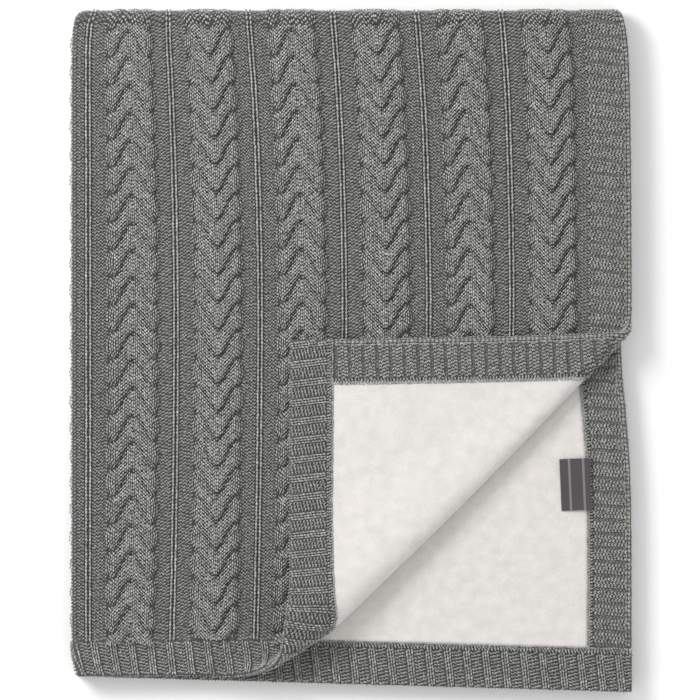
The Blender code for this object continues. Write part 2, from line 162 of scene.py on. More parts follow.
def past_bend_start(u, v):
    """Distance of a point of the layout past the start of the corner's bend, and its place along it."""
    x = SIDE_FOLD_X + np.abs(u) - 0.57 * SIDE_FOLD_RADIUS
    y = TOP_FOLD_Y + math.pi * TOP_FOLD_RADIUS / 2 - np.abs(v)
    along = -(x + y) / math.sqrt(2)
    return (x - y) / math.sqrt(2) - bend_shape(along)[0], along


def lines(*stops):
    """Sorted lines from a row of stops and steps: first, step, stop, step, stop and so on."""
    placed = [np.array([stops[0]])]
    for first, step, last in zip(stops[0:-2:2], stops[1::2], stops[2::2]):
        count = max(1, round((last - first) / step))
        placed.append(np.linspace(first, last, count + 1)[1:])
    return np.concatenate(placed)


def cloth(name, across, length, front, back, covered, material):
    """Closed slab of cloth between two faces, folded into place, with a UV map in metres.

    Its tone is darker where its front or back is covered by stitches, as between them it lies in shade.
    """
    u, v = np.meshgrid(across, length, indexing="ij")
    columns, rows = u.shape
    top = folded(u, v, front(u, v)).reshape(-1, 3)
    bottom = folded(u, v, back(u, v)).reshape(-1, 3)
    index = np.arange(columns * rows).reshape(columns, rows)
    under = index + columns * rows
    upper = np.stack((index[:-1, :-1], index[:-1, 1:], index[1:, 1:], index[1:, :-1]), -1).reshape(-1, 4)
    lower = np.stack((under[:-1, :-1], under[1:, :-1], under[1:, 1:], under[:-1, 1:]), -1).reshape(-1, 4)
    ring = np.concatenate((index[:, 0], index[-1, 1:], index[-2::-1, -1], index[0, -2:0:-1]))
    after = np.roll(ring, -1)
    rim = np.stack((ring, after, after + columns * rows, ring + columns * rows), -1)
    quads = np.concatenate((upper, lower, rim))
    mesh = bpy.data.meshes.new(name)
    mesh.from_pydata(np.concatenate((top, bottom)).tolist(), [], quads.tolist())
    flat = np.stack((u.ravel(), v.ravel()), -1)
    flat = np.concatenate((flat, flat))
    uv_map = mesh.uv_layers.new(name="flat")
    uv_map.data.foreach_set("uv", flat[quads.ravel()].astype(np.float32).ravel())
    tone = mesh.attributes.new("tone", "FLOAT", "POINT")
    hidden = np.concatenate([covered(u, v, side).ravel() for side in (1, -1)])
    tone.data.foreach_set("value", (1.0 - SHADE_BETWEEN * hidden).astype(np.float32))
    mesh.polygons.foreach_set("use_smooth", np.ones(len(quads), dtype=bool))
    mesh.materials.append(material)
    mesh.update()
    piece = bpy.data.objects.new(name, mesh)
    bpy.context.scene.collection.objects.link(piece)
    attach(piece, "root")
    return piece


def yarn_grain():
    """Node group: fibres and mixed shades of cotton yarn, as a colour factor and a height."""
    group = bpy.data.node_groups.new("yarn_grain", "ShaderNodeTree")
    group.interface.new_socket("Vector", in_out="INPUT", socket_type="NodeSocketVector")
    shade_size = group.interface.new_socket("Shade size", in_out="INPUT", socket_type="NodeSocketFloat")
    shade_size.default_value = 330.0
    fibre_size = group.interface.new_socket("Fibre size", in_out="INPUT", socket_type="NodeSocketFloat")
    fibre_size.default_value = 2600.0
    group.interface.new_socket("Factor", in_out="OUTPUT", socket_type="NodeSocketFloat")
    group.interface.new_socket("Height", in_out="OUTPUT", socket_type="NodeSocketFloat")
    taken = group.nodes.new("NodeGroupInput")
    given = group.nodes.new("NodeGroupOutput")
    shades = group.nodes.new("ShaderNodeTexNoise")
    shades.inputs["Detail"].default_value = 3.0
    fibres = group.nodes.new("ShaderNodeTexNoise")
    fibres.inputs["Detail"].default_value = 2.0
    spread = group.nodes.new("ShaderNodeMapRange")
    spread.inputs["From Min"].default_value = 0.28
    spread.inputs["From Max"].default_value = 0.72
    spread.inputs["To Min"].default_value = 0.72
    spread.inputs["To Max"].default_value = 1.28
    fine = group.nodes.new("ShaderNodeMapRange")
    fine.inputs["From Min"].default_value = 0.3
    fine.inputs["From Max"].default_value = 0.7
    fine.inputs["To Min"].default_value = 0.86
    fine.inputs["To Max"].default_value = 1.14
    both = group.nodes.new("ShaderNodeMath")
    both.operation = "MULTIPLY"
    group.links.new(taken.outputs["Vector"], shades.inputs["Vector"])
    group.links.new(taken.outputs["Shade size"], shades.inputs["Scale"])
    group.links.new(taken.outputs["Vector"], fibres.inputs["Vector"])
    group.links.new(taken.outputs["Fibre size"], fibres.inputs["Scale"])
    group.links.new(shades.outputs["Fac"], spread.inputs["Value"])
    group.links.new(fibres.outputs["Fac"], fine.inputs["Value"])
    group.links.new(spread.outputs["Result"], both.inputs[0])
    group.links.new(fine.outputs["Result"], both.inputs[1])
    group.links.new(both.outputs["Value"], given.inputs["Factor"])
    group.links.new(fibres.outputs["Fac"], given.inputs["Height"])
    return group


YARN_GRAIN = yarn_grain()
YARN_COLOR = (0.366, 0.370, 0.345)


def yarn_material(name, color):
    """Matt cotton yarn, each stitch with its own tone as an attribute. The tone holds the yarn's random tint
    and also painted light and painted shade.
    """
    material = bpy.data.materials.new(name)
    material.use_nodes = True
    nodes = material.node_tree.nodes
    links = material.node_tree.links
    shader = nodes["Principled BSDF"]
    shader.inputs["Roughness"].default_value = 0.95
    shader.inputs["Specular IOR Level"].default_value = 0.15
    shader.inputs["Sheen Weight"].default_value = 0.25
    shader.inputs["Sheen Roughness"].default_value = 0.6
    place = nodes.new("ShaderNodeTexCoord")
    grain = nodes.new("ShaderNodeGroup")
    grain.node_tree = YARN_GRAIN
    links.new(place.outputs["Object"], grain.inputs["Vector"])
    tone = nodes.new("ShaderNodeAttribute")
    tone.attribute_name = "tone"
    factor = nodes.new("ShaderNodeMath")
    factor.operation = "MULTIPLY"
    links.new(tone.outputs["Fac"], factor.inputs[0])
    links.new(grain.outputs["Factor"], factor.inputs[1])
    tint = nodes.new("ShaderNodeVectorMath")
    tint.operation = "SCALE"
    tint.inputs[0].default_value = color
    links.new(factor.outputs["Value"], tint.inputs["Scale"])
    links.new(tint.outputs["Vector"], shader.inputs["Base Color"])
    bump = nodes.new("ShaderNodeBump")
    bump.inputs["Strength"].default_value = 0.5
    bump.inputs["Distance"].default_value = 0.0003
    links.new(grain.outputs["Height"], bump.inputs["Height"])
    links.new(bump.outputs["Normal"], shader.inputs["Normal"])
    return material


def face_shown(u, v):
    """Where the knitted side of the outer layers can be seen, from above, from the sides or at a fold."""
    x = SIDE_FOLD_X + np.abs(u)
    y = TOP_FOLD_Y + 0.0094 - np.abs(v)
    past, along = past_bend_start(u, v)
    arc = bend_shape(along)[3]
    under_corner = (x > -0.030) & (y < -0.004) & (past < -0.010)
    turned_under = past > np.where(along < 0.02, 0.55 * arc, arc + 0.03)
    on_top = (v > -0.0090) & (u > -0.0050) & ~under_corner & ~turned_under
    at_side_fold = (np.abs(u) < 0.0050) & (v < 0)
    return on_top | at_side_fold


PATTERN_PITCH = 0.0602
FIRST_RIB_U = 0.0114
FIRST_CABLE_U = FIRST_RIB_U + PATTERN_PITCH / 2
CABLE_HALF_WIDTH = 0.0172
ROPE_HALF_WIDTH = CABLE_HALF_WIDTH / 2
ROPE_RELIEF = 0.0006


def rope_relief(u):
    """Height of the cloth under the two ropes of a cable."""
    side = np.abs(np.mod(u - FIRST_CABLE_U + PATTERN_PITCH / 2, PATTERN_PITCH) - PATTERN_PITCH / 2)
    from_rope = np.abs(side - ROPE_HALF_WIDTH) / ROPE_HALF_WIDTH
    return ROPE_RELIEF * np.sqrt(np.clip(1 - from_rope ** 2, 0, 1))


KNIT = yarn_material("yarn", YARN_COLOR)
panel_half_u = HALF_WIDTH - BAND_WIDTH - PIECE_GAP / 2
panel_half_v = HALF_LENGTH - BAND_WIDTH - PIECE_GAP / 2
panel_u = lines(-panel_half_u, 0.015, -0.010, 0.0007, 0.010, PATTERN_PITCH / 20, panel_half_u)
panel_v = lines(-panel_half_v, 0.015, -0.020, 0.0015, 0.020, 0.0045, panel_half_v)


def panel_front(u, v):
    shown = smooth((u + 0.006) / 0.003) * smooth((v + 0.0085) / 0.0075)
    return KNIT_THICKNESS - 0.0004 + rope_relief(u) * shown * (past_bend_start(u, v)[0] < 0)


def panel_back(u, v):
    return np.full_like(u, SKIN_GAP)


def panel_covered(u, v, side):
    return face_shown(u, v) * (side > 0)


knit_panel = cloth("knit_panel_cloth", panel_u, panel_v, panel_front, panel_back, panel_covered, KNIT)
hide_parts("knit_panel")

# Knitted face: its stitches
# Each knit stitch is two plump legs of yarn leaning together in a V, each purl stitch two short bumps
# across. Twelve stitches twist as two ropes in a cable, with purl gutters and a thin two-stitch rib between.
STITCH_WIDTH = 0.0027
ANGLE_SPREAD = 0.07
PLACE_SPREAD = (0.00010, 0.00016)
TONE_SPREAD = 0.16
chance = np.random.default_rng(11)


def stitch_tree():
    """Node tree: a plump leg of yarn set on every point, turned and sized by the point's attributes."""
    tree = bpy.data.node_groups.new("stitches", "GeometryNodeTree")
    tree.interface.new_socket("Points", in_out="INPUT", socket_type="NodeSocketGeometry")
    tree.interface.new_socket("Sides", in_out="INPUT", socket_type="NodeSocketInt")
    tree.interface.new_socket("Rings", in_out="INPUT", socket_type="NodeSocketInt")
    tree.interface.new_socket("Yarn", in_out="INPUT", socket_type="NodeSocketMaterial")
    tree.interface.new_socket("Stitches", in_out="OUTPUT", socket_type="NodeSocketGeometry")
    taken = tree.nodes.new("NodeGroupInput")
    given = tree.nodes.new("NodeGroupOutput")
    leg = tree.nodes.new("GeometryNodeMeshUVSphere")
    leg.inputs["Radius"].default_value = 0.5
    rounded = tree.nodes.new("GeometryNodeSetShadeSmooth")
    placed = tree.nodes.new("GeometryNodeInstanceOnPoints")
    attributes = {}
    for name in ("outwards", "along", "size"):
        attributes[name] = tree.nodes.new("GeometryNodeInputNamedAttribute")
        attributes[name].data_type = "FLOAT_VECTOR"
        attributes[name].inputs["Name"].default_value = name
    turned = tree.nodes.new("FunctionNodeAxesToRotation")
    turned.primary_axis = "Z"
    turned.secondary_axis = "Y"
    realized = tree.nodes.new("GeometryNodeRealizeInstances")
    dyed = tree.nodes.new("GeometryNodeSetMaterial")
    tree.links.new(taken.outputs["Sides"], leg.inputs["Segments"])
    tree.links.new(taken.outputs["Rings"], leg.inputs["Rings"])
    tree.links.new(leg.outputs["Mesh"], rounded.inputs["Geometry"])
    tree.links.new(taken.outputs["Points"], placed.inputs["Points"])
    tree.links.new(rounded.outputs["Geometry"], placed.inputs["Instance"])
    tree.links.new(attributes["outwards"].outputs["Attribute"], turned.inputs["Primary Axis"])
    tree.links.new(attributes["along"].outputs["Attribute"], turned.inputs["Secondary Axis"])
    tree.links.new(turned.outputs["Rotation"], placed.inputs["Rotation"])
    tree.links.new(attributes["size"].outputs["Attribute"], placed.inputs["Scale"])
    tree.links.new(placed.outputs["Instances"], realized.inputs["Geometry"])
    tree.links.new(realized.outputs["Geometry"], dyed.inputs["Geometry"])
    tree.links.new(taken.outputs["Yarn"], dyed.inputs["Material"])
    tree.links.new(dyed.outputs["Geometry"], given.inputs["Stitches"])
    return tree


STITCH_TREE = stitch_tree()


def stitches(name, legs, side, material, sides=4, rings=2):
    """Make a piece of the listed legs. Each is u, v, w, angle from the v line, length, width, depth, tone.

    Two more numbers may give the slope of the surface that a leg lies on, across and along.
    """
    legs = [tuple(leg) + (0.0,) * (10 - len(leg)) for leg in legs]
    table = np.concatenate([np.stack(np.broadcast_arrays(*leg), -1) for leg in legs]).T
    u, v, w, angle, length, width, depth, tone, slope_u, slope_v = table
    count = len(u)
    jitter = chance.normal(0.0, 1.0, (4, count))
    angle = angle + ANGLE_SPREAD * jitter[0]
    u = u + PLACE_SPREAD[0] * jitter[1]
    v = v + PLACE_SPREAD[1] * jitter[2]
    step = 0.0004
    across = folded(u + step, v, w) - folded(u - step, v, w)
    onwards = folded(u, v + step, w) - folded(u, v - step, w)
    outwards = side * (folded(u, v, w + step) - folded(u, v, w - step))
    across /= np.linalg.norm(across, axis=1, keepdims=True)
    onwards /= np.linalg.norm(onwards, axis=1, keepdims=True)
    outwards /= np.linalg.norm(outwards, axis=1, keepdims=True)
    along = np.cos(angle)[:, None] * onwards + np.sin(angle)[:, None] * across
    along += (np.cos(angle) * slope_v + np.sin(angle) * slope_u)[:, None] * outwards
    along /= np.linalg.norm(along, axis=1, keepdims=True)
    outwards = outwards - slope_u[:, None] * across - slope_v[:, None] * onwards
    # the lowest stitches are pressed flat by the surface that the blanket lies on
    places = folded(u, v, w)
    places[:, 2] = np.maximum(places[:, 2], depth / 2)
    points = bpy.data.meshes.new(name + "_points")
    points.from_pydata(places.tolist(), [], [])
    columns = {"outwards": outwards / np.linalg.norm(outwards, axis=1, keepdims=True), "along": along,
               "size": np.stack((width, length, depth), -1)}
    for column, values in columns.items():
        stored = points.attributes.new(column, "FLOAT_VECTOR", "POINT")
        stored.data.foreach_set("vector", values.astype(np.float32).ravel())
    stored = points.attributes.new("tone", "FLOAT", "POINT")
    stored.data.foreach_set("value", (tone * (1 + TONE_SPREAD * jitter[3])).astype(np.float32))
    holder = bpy.data.objects.new(name + "_points", points)
    bpy.context.scene.collection.objects.link(holder)
    modifier = holder.modifiers.new("stitches", "NODES")
    modifier.node_group = STITCH_TREE
    sockets = {item.name: item.identifier for item in STITCH_TREE.interface.items_tree
               if item.in_out == "INPUT"}
    modifier[sockets["Sides"]] = sides
    modifier[sockets["Rings"]] = rings
    modifier[sockets["Yarn"]] = material
    evaluated = holder.evaluated_get(bpy.context.evaluated_depsgraph_get())
    mesh = bpy.data.meshes.new_from_object(evaluated)
    mesh.name = name
    bpy.data.objects.remove(holder)
    piece = bpy.data.objects.new(name, mesh)
    bpy.context.scene.collection.objects.link(piece)
    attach(piece, "root")
    return piece


def chosen(legs, test):
    """The legs whose place in the layout passes the test."""
    kept = []
    for leg in legs:
        values = np.stack(np.broadcast_arrays(*leg), 0).reshape(len(leg), -1)
        kept.append(tuple(values[:, test(values[0], values[1])]))
    return kept


# the panel's first and last stitches lie over the seams of the end bands
SEAM_OVERLAP = 0.0045
rows_v = np.arange(-round(panel_half_v / ROW_HEIGHT) + 1, round(panel_half_v / ROW_HEIGHT) + 3) * ROW_HEIGHT
rows_v = rows_v[np.abs(rows_v) < panel_half_v + SEAM_OVERLAP]
GROUND = KNIT_THICKNESS - 0.0003
RIBS = 6
# a crease's place and its fall from the cable's middle to its edge, in crossings
CROSSING_PLACE = 0.67
CROSSING_SHIFT = 0.07
CROSSING_DROP = 0.93
EVEN_FALL = 0.08
CREASE_SPAN = (0.06, 0.72)
# the relief of a rope
LOBE_HEIGHT = 0.0046
LOBE_ROUNDING = 0.0058
ROPE_ROUNDING = 0.0060
EDGE_DENT = 0.0016
CREASE_DEPTHS = (0.0016, 0.0042)
SOFT_CREASE = 0.3
# the legs of a rope
LEG_COLUMNS = 12
ROPE_LEAN = 0.62
LEG_SPLAY = 0.22
SLOPE_LIMIT = 1.2
# the gutters, whose rows slant with the cables
ROW_SLANT = 0.24
PURL_WIDTH = 0.00255
PURL_BUMP = (0.0025, 0.0013, 0.0015)
RIB_LEG = (1.7 * ROW_HEIGHT, 0.0018, 0.0022)
rope_legs = []
gutter_legs = []
rib_legs = []


def shoulder(distance, reach):
    """Rounded rise from 0 at an edge to 1 at a reach from it."""
    return np.sqrt(1 - (1 - np.clip(distance / reach, 0, 1)) ** 2)


def lobes(out, row, leans_in, crisp):
    """Height of a rope, its place in a lobe, its distance from the crease and the crease's steepness.

    out is 0 at the cable's middle and 1 at its edge. The crease between two lobes starts level at the
    middle, falls steeply and ends level at the edge. It is deep where crisp is 1 and shallow where it is 0.
    """
    start, reach = CREASE_SPAN
    held = np.clip((out - start) / reach, 0, 1)
    fall = CROSSING_DROP * (EVEN_FALL * out + (1 - EVEN_FALL) * smooth(held))
    steepness = CROSSING_DROP * (EVEN_FALL + (1 - EVEN_FALL) * 6 * held * (1 - held) / reach)
    steepness = steepness * CABLE_CROSSING / CABLE_HALF_WIDTH
    lobe = np.mod(row / CABLE_CROSSING - CROSSING_PLACE - leans_in * (CROSSING_SHIFT + fall), 1.0)
    away = np.minimum(lobe, 1 - lobe) * CABLE_CROSSING / np.sqrt(1 + steepness ** 2)
    dent = EDGE_DENT * (1 - 4 * lobe * (1 - lobe)) ** 2
    full = shoulder((1 - out) * CABLE_HALF_WIDTH - dent, ROPE_ROUNDING)
    depth = np.interp(crisp, (0, 1), CREASE_DEPTHS)
    height = full * (LOBE_HEIGHT - depth * (1 - shoulder(away, LOBE_ROUNDING)))
    return height, lobe, away, steepness


def rope_stitches(cable_u, rope_side, leans_in):
    """Legs of one rope. Its strands cross over one after the other, and each shows as one plump lobe.

    The wales run straight at the rope's two sides and lean with the crease between them. A crease that runs
    with the light hardly shows in the photo, so it is kept shallow.
    """
    column, row = [part.ravel() for part in np.meshgrid(np.arange(LEG_COLUMNS), rows_v, indexing="ij")]
    row = row + ROW_HEIGHT * (0.5 * (column % 2) + 0.13 * column * leans_in)
    out = (column + 0.5) / LEG_COLUMNS
    crisp = 1.0 if rope_side * leans_in < 0 else SOFT_CREASE
    rise, lobe, away, steepness = lobes(out, row, leans_in, crisp)
    # a leg lies along its strand and stops short of the crease
    lean = ROPE_LEAN * np.sin(math.pi * np.clip(out / 0.86, 0, 1)) ** 2
    passing = np.abs(np.cos(lean) - steepness * np.sin(lean)) / CABLE_CROSSING
    half_length = np.minimum(lobe, 1 - lobe) / passing - 0.0001
    half_length = np.clip(half_length, 0.00125 - 0.00055 * crisp, 0.00145)
    bulge = 1 + 0.18 * (4 * lobe * (1 - lobe) - 0.65) * smooth((out - 0.45) / 0.55)
    # it is tilted with the lobe that it lies on
    step_out = 0.03
    step_row = 0.0005
    slope_u = lobes(out + step_out, row, leans_in, crisp)[0] - lobes(out - step_out, row, leans_in, crisp)[0]
    slope_u = rope_side * slope_u / (2 * step_out * CABLE_HALF_WIDTH)
    slope_u = np.clip(slope_u, -SLOPE_LIMIT, SLOPE_LIMIT)
    slope_v = lobes(out, row + step_row, leans_in, crisp)[0] - lobes(out, row - step_row, leans_in, crisp)[0]
    slope_v = np.clip(slope_v / (2 * step_row), -SLOPE_LIMIT, SLOPE_LIMIT)
    # painted light on the slopes that face the upper left, where the light comes from, and painted shade on
    # those that face away, in the creases (most in those that run across the light), in the slits and a
    # little towards the rope's outer edge
    tone = 1.02 + 0.10 * (slope_u + slope_v) - 0.48 * crisp ** 2 * np.exp(-(away / 0.0009) ** 2)
    tone = tone - 0.12 * out ** 6
    slit = (column == 0) & ((lobe > 0.80) if leans_in > 0 else (lobe < 0.20))
    tone = np.where(slit, 0.70, tone)
    # the ropes flatten out over the top fold
    fade = 0.35 + 0.65 * smooth(row / 0.016)
    angle = rope_side * leans_in * lean + LEG_SPLAY * (-1) ** column
    return (cable_u + rope_side * out * CABLE_HALF_WIDTH * bulge, row, GROUND + fade * rise, angle,
            2 * half_length, 0.00155, 0.0012, tone, slope_u * fade, slope_v * fade)


def purl_column(wale_u, drag, leans_in):
    """Legs of one wale of a gutter: two short bumps a stitch, slanting with the cable beside it."""
    legs = []
    for half in (-1, 1):
        angle = math.pi / 2 + 0.40 * half + 1.5 * ROW_SLANT * leans_in
        # painted shade: the gutter's yarn is darker, as it lies low between the cables, and one bump of each
        # stitch is painted lighter than the other, as if lit from one side
        legs.append((wale_u + half * 0.0006, rows_v + drag + 0.0003 * half * leans_in, GROUND + 0.0002,
                     angle, *PURL_BUMP, 0.80 + 0.08 * half))
    return legs


for cable in range(-1, RIBS):
    leans_in = 1 if cable % 2 == 0 else -1
    for rope_side in (-1, 1):
        rope_legs.append(rope_stitches(FIRST_CABLE_U + cable * PATTERN_PITCH, rope_side, leans_in))
for rib in range(-1, RIBS):
    for wale in (-0.5, 0.5):
        rib_legs.append((FIRST_RIB_U + rib * PATTERN_PITCH + wale * STITCH_WIDTH, rows_v, GROUND + 0.0009,
                         0.0, *RIB_LEG, 1.0))
for rib in range(-1, RIBS + 1):
    rib_u = FIRST_RIB_U + rib * PATTERN_PITCH
    for gutter_side in (-1, 1):
        leans_in = gutter_side * (1 if (rib + (gutter_side < 0)) % 2 == 0 else -1)
        for wale in range(4):
            wale_u = rib_u + gutter_side * (1.5 * STITCH_WIDTH + wale * PURL_WIDTH)
            # the last gutter ends at the side band, so it has no rib and stands a little closer
            if rib == RIBS:
                wale_u = rib_u - 0.0042 - wale * 0.0024
            if wale_u > panel_half_u or (rib == RIBS and gutter_side > 0):
                continue
            drag = -ROW_SLANT * gutter_side * leans_in * (wale - 1.5) * PURL_WIDTH
            gutter_legs += purl_column(wale_u, drag, leans_in)

rope_legs = chosen(rope_legs, face_shown)
halfway_u = FIRST_CABLE_U + 1.5 * PATTERN_PITCH
left_ropes = [tuple(part[leg[0] < halfway_u] for part in leg) for leg in rope_legs]
right_ropes = [tuple(part[leg[0] >= halfway_u] for part in leg) for leg in rope_legs]
face_stitches = [
    stitches("cables_left", left_ropes, 1, KNIT),
    stitches("cables_right", right_ropes, 1, KNIT),
    stitches("purl_gutters", chosen(gutter_legs, face_shown), 1, KNIT),
    stitches("ladder_ribs", chosen(rib_legs, face_shown), 1, KNIT),
]

# Lining
# Short cream plush, cut as large as the knitted face and caught in the bands' seams all round. It lies
# inside the folds, and shows where the corner is turned back.
LINING_COLOR = (0.69, 0.660, 0.637)


def plush_material():
    """Short pile: soft mottling, tiny tufts and a pale sheen."""
    material = bpy.data.materials.new("plush")
    material.use_nodes = True
    nodes = material.node_tree.nodes
    links = material.node_tree.links
    shader = nodes["Principled BSDF"]
    shader.inputs["Roughness"].default_value = 1.0
    shader.inputs["Specular IOR Level"].default_value = 0.1
    shader.inputs["Sheen Weight"].default_value = 0.35
    shader.inputs["Sheen Roughness"].default_value = 0.5
    place = nodes.new("ShaderNodeTexCoord")
    tufts = nodes.new("ShaderNodeTexNoise")
    tufts.inputs["Scale"].default_value = 900.0
    tufts.inputs["Detail"].default_value = 3.0
    patches = nodes.new("ShaderNodeTexNoise")
    patches.inputs["Scale"].default_value = 120.0
    patches.inputs["Detail"].default_value = 4.0
    shade = nodes.new("ShaderNodeMapRange")
    shade.inputs["From Min"].default_value = 0.3
    shade.inputs["From Max"].default_value = 0.7
    shade.inputs["To Min"].default_value = 0.93
    shade.inputs["To Max"].default_value = 1.05
    tint = nodes.new("ShaderNodeVectorMath")
    tint.operation = "SCALE"
    tint.inputs[0].default_value = LINING_COLOR
    height = nodes.new("ShaderNodeMath")
    height.operation = "MULTIPLY_ADD"
    height.inputs[1].default_value = 0.6
    bump = nodes.new("ShaderNodeBump")
    bump.inputs["Strength"].default_value = 0.6
    bump.inputs["Distance"].default_value = 0.0009
    for noise in (tufts, patches):
        links.new(place.outputs["Object"], noise.inputs["Vector"])
    links.new(patches.outputs["Fac"], shade.inputs["Value"])
    links.new(shade.outputs["Result"], tint.inputs["Scale"])
    links.new(tint.outputs["Vector"], shader.inputs["Base Color"])
    links.new(patches.outputs["Fac"], height.inputs[0])
    links.new(tufts.outputs["Fac"], height.inputs[2])
    links.new(height.outputs["Value"], bump.inputs["Height"])
    links.new(bump.outputs["Normal"], shader.inputs["Normal"])
    return material


def lining_front(u, v):
    return np.full_like(u, -SKIN_GAP)


def lining_back(u, v):
    past, along = past_bend_start(u, v)
    shown = np.where(u > 0, smooth(past / 0.01), smooth((past + 0.03) / 0.01)) * (v > 0)
    # soft lumps of the pile
    ripple = 0.25 * np.sin(u * 310 + 2.0 * np.sin(v * 170)) * np.sin(v * 260 + 1.7 * np.sin(u * 140))
    return -LINING_THICKNESS - shown * (0.0005 + 0.0005 * ripple)


lining_u = lines(-panel_half_u, 0.004, -0.10, 0.010, -0.010, 0.0008, 0.010, 0.006, 0.040, 0.0024,
                 panel_half_u)
lining_v = lines(-panel_half_v, 0.02, -0.020, 0.0015, 0.020, 0.010, 0.190, 0.0024, panel_half_v)
lining = cloth("plush_lining", lining_u, lining_v, lining_front, lining_back, lambda u, v, side: 0.0 * u,
               plush_material())
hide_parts("lining")

# Bands
# Ribbed strips 3 cm wide knitted in the same yarn and sewn on all round, two along the sides and two
# across the ends. They are the same on both faces, with a chain along the free edge.
SIDE_RIB_PITCH = 0.0098
END_RIB_PITCH = 0.0136
END_KNIT_WALES = (0.0009, 0.0027, 0.0045)
END_PURL_WALES = (0.0073, 0.0097, 0.0121)
END_ROW = 0.0023
END_SLANT = 0.12
SIDE_ROW = 0.0024
BAND_RELIEF = 0.00055
CHAIN_EDGE = 0.0042
END_MARGIN = 0.0006
# length, width and depth of the legs
END_KNIT_LEG = (0.0034, 0.00155, 0.0017)
END_PURL_BUMP = (0.0023, 0.0013, 0.0015)
SIDE_LEG = (0.0028, 0.0014, 0.0018)
END_RIM_LEG = (0.0020, 0.0018, 0.0040)
SIDE_RIM_LEG = (0.0036, 0.0014, 0.0040)
SIDE_CHAIN_LEG = (0.0040, 0.0013, 0.0020)
SEAM_LEG = (0.0028, 0.0015, 0.0020)
band_near_u = HALF_WIDTH - BAND_WIDTH + PIECE_GAP / 2
band_near_v = HALF_LENGTH - BAND_WIDTH + PIECE_GAP / 2
side_half_v = HALF_LENGTH - BAND_WIDTH - PIECE_GAP / 2


def side_rib(u, v):
    """Broad rounded rib, with a narrow groove."""
    return 1 - np.abs(2 * np.mod(v / SIDE_RIB_PITCH, 1.0) - 1) ** 4


def end_rib(u, v):
    """Three raised stitches, then three sunk ones."""
    part = np.mod(u / END_RIB_PITCH, 1.0)
    return np.interp(part, (0.0, 0.06, 0.36, 0.44), (0.0, 1.0, 1.0, 0.0))


def back_shown(u, v):
    """Where the reverse can be seen: the turned-back corner and the second layer beside it."""
    past = past_bend_start(u, v)[0]
    return (v > 0) & np.where(u > 0, past > -0.004, past > -0.035)


def band_front_shown(u, v):
    """Where the knitted side of a band can be seen."""
    past, along = past_bend_start(u, v)
    arc = bend_shape(along)[3]
    turned = past > np.where(along < 0.02, 0.55 * arc, arc + 0.06)
    return (((v > -0.009) & (u > -0.0050)) | ((np.abs(u) < 0.005) & (v < 0))
            | ((np.abs(v) < 0.012) & (u > 0))) & ~turned


def end_band_legs(edge, half_length, first_row, side):
    """Stitches of an end band on one face: three knit wales, a narrow groove and three purl wales.

    edge gives the layout place and heading of a point of the band, as its place along and across it.
    """
    base = KNIT_THICKNESS if side > 0 else -LINING_THICKNESS
    ribs = np.arange(math.floor(-half_length / END_RIB_PITCH), math.ceil(half_length / END_RIB_PITCH))
    legs = []
    for number, offset in enumerate(END_KNIT_WALES + END_PURL_WALES):
        rows = np.arange(first_row + 0.0006 * (number % 3), BAND_WIDTH - 0.0014, END_ROW)
        starts = ribs * END_RIB_PITCH + offset
        place, row = [part.ravel() for part in np.meshgrid(starts, rows, indexing="ij")]
        place = place + END_SLANT * (row - BAND_WIDTH / 2) * side
        inside = np.abs(place) < half_length - END_MARGIN
        place = place[inside]
        row = row[inside]
        if offset in END_KNIT_WALES:
            u, v, turn = edge(place, row)
            height = base + side * (0.0009 + 0.0002 * (number == 1))
            legs.append((u, v, height, turn + 0.2 * (-1) ** number, *END_KNIT_LEG, 0.96))
        else:
            for half in (-1, 1):
                u, v, turn = edge(place + half * 0.0006, row)
                # one bump of each purl stitch is painted lighter than the other, as if lit from one side
                legs.append((u, v, base + side * 0.0003, turn + math.pi / 2 + 0.5 + 0.5 * half,
                             *END_PURL_BUMP, 0.90 + 0.08 * half))
    return legs


def side_band_legs(edge, half_length, first_row, groove, slant, side):
    """Stitches of a side band on one face: wales across it, every fourth one sunk into a groove."""
    base = KNIT_THICKNESS if side > 0 else -LINING_THICKNESS
    wale_width = SIDE_RIB_PITCH / 4
    wales = np.arange(math.ceil(-half_length / wale_width), math.floor(half_length / wale_width))
    rows = np.arange(first_row, BAND_WIDTH - CHAIN_EDGE, SIDE_ROW)
    wale, row = [part.ravel() for part in np.meshgrid(wales, rows, indexing="ij")]
    # the rows of neighbouring wales are set off by half a stitch, and a little more or less
    row = row + 0.5 * SIDE_ROW * np.mod(wale, 2) + 0.00013 * np.mod(wale * 7, 5)
    place = (wale + 0.5) * wale_width + slant * (row - BAND_WIDTH / 2)
    kept = (np.abs(place) < half_length - END_MARGIN) & (row < BAND_WIDTH - CHAIN_EDGE)
    sunk = groove * (np.mod(wale, 4) == 0)
    legs = []
    for half in (-1, 1):
        u, v, turn = edge(place + half * 0.00058, row)
        height = base + side * (0.0008 - 0.0012 * sunk)
        # painted shade: a sunk wale is darker, as it lies in its groove
        leg = (u, v, height, turn + 0.5 * half, *SIDE_LEG, 0.94 - 0.36 * sunk)
        legs.append(tuple(part[kept] for part in np.broadcast_arrays(*leg)))
    return legs


def chain_legs(edge, half_length, pitch, across, lean, base, size, tone):
    """A line of single legs along a band, at a distance across it."""
    place = np.arange(-half_length + pitch / 2, half_length, pitch)
    u, v, turn = edge(place, np.full_like(place, across))
    return [(u, v, base, turn + math.pi / 2 + lean, *size, tone)]


